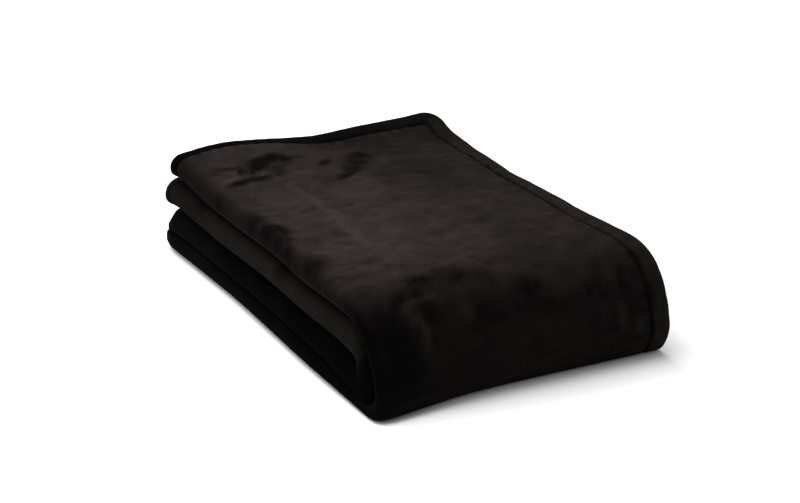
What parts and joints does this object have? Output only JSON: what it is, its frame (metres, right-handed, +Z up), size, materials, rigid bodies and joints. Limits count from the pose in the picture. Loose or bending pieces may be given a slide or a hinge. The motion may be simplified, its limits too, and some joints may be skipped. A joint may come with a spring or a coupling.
{
  "type": "throw blanket",
  "caption": "Thick plush throw in one cloth, folded into a flat pack with a round front spine, rolled folds on the left and turned hems on the right.",
  "frame": {"origin": "centre of the pack's bounding box at its underside, on the surface that it rests on", "axes": "+Z up; +X along the front spine towards the hems; +Y from the front spine to the open ends at the back"},
  "size_m": [0.3432, 0.5364, 0.1227],
  "materials": {
    "plush": "soft matt pile with a faint sheen, near-black brown"
  },
  "bodies": {
    "root": {"folded_throw": "plush"}
  },
  "joints": []
}
